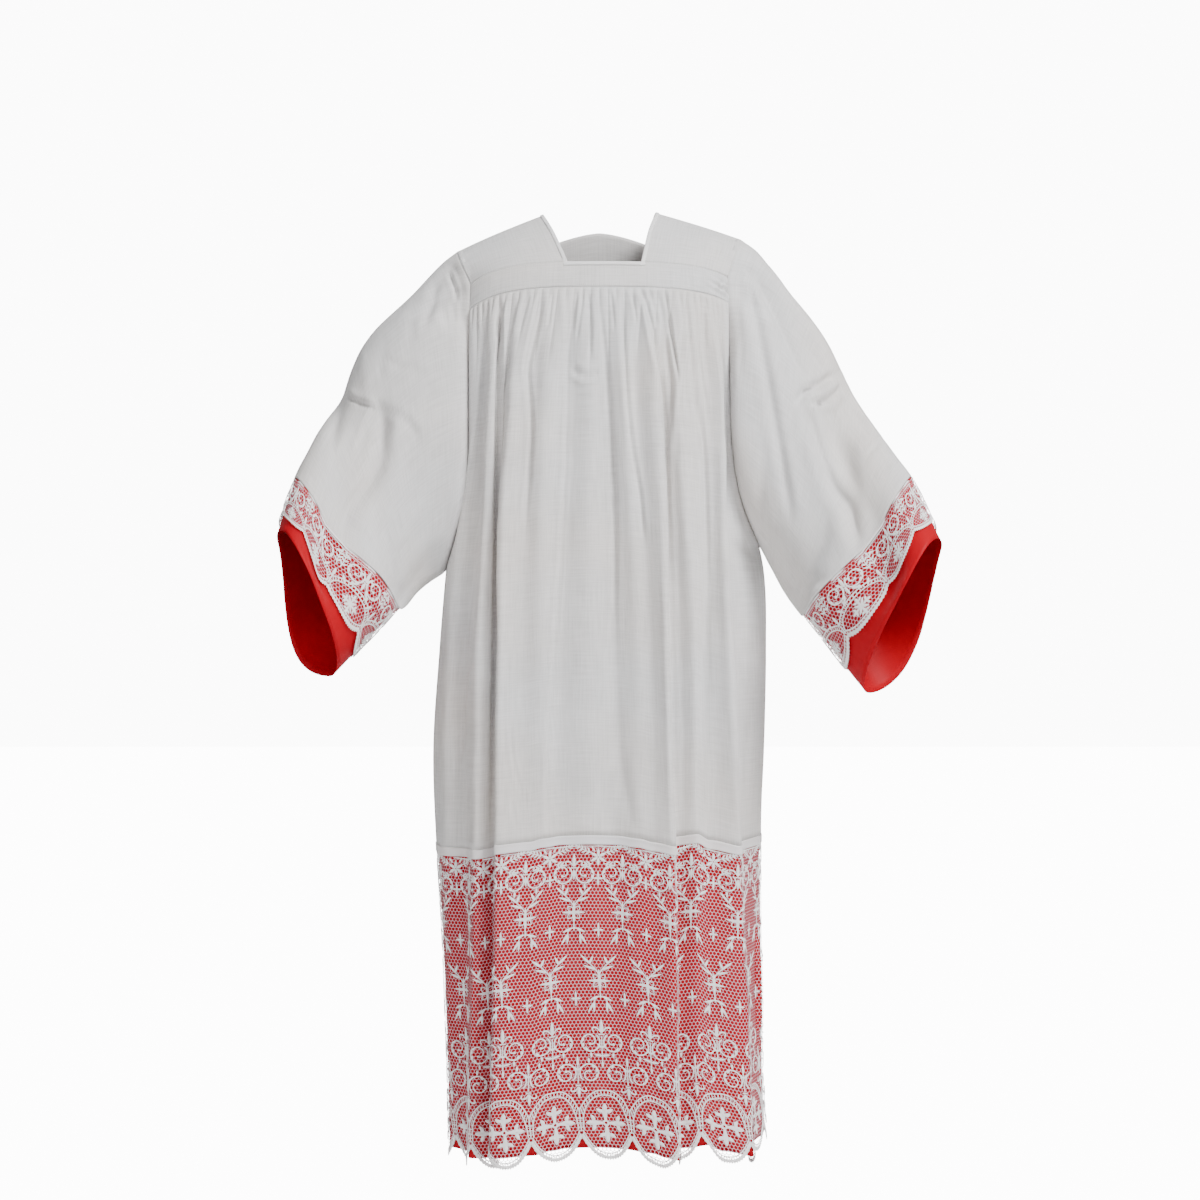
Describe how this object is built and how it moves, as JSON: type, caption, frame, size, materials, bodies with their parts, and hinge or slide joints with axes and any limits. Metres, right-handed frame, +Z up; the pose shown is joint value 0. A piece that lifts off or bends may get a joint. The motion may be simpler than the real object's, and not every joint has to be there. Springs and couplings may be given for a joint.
{
  "type": "alb",
  "caption": "Worn lace alb: gathered white linen robe with a square-necked yoke and wide sleeves, deep scalloped lace over red lining at hem and cuffs, hollow and open.",
  "frame": {"origin": "midway between the two neck points of the yoke, where the alb hangs from the wearer's shoulders", "axes": "+Z up along the standing wearer, the wearer faces -Y, the wearer's right arm is at -X"},
  "size_m": [0.9025, 0.4196, 1.333],
  "materials": {
    "linen": "matte plain-woven linen",
    "lace": "matte cotton thread net with raised embroidery",
    "lining": "satin red lining cloth"
  },
  "bodies": {
    "root": {"panel_front": "linen", "panel_back": "linen", "yoke_front_band": "linen", "yoke_back": "linen", "yoke_shoulder_right": "linen", "yoke_shoulder_left": "linen", "neck_edging": "linen", "sleeve_right": "linen", "sleeve_left": "linen", "tape_front": "lace", "tape_back": "lace", "lace_front": "lace", "lace_back": "lace", "cuff_lace_right": "lace", "cuff_lace_left": "lace", "lining_front": "lining", "lining_back": "lining", "cuff_lining_right": "lining", "cuff_lining_left": "lining"}
  },
  "joints": []
}
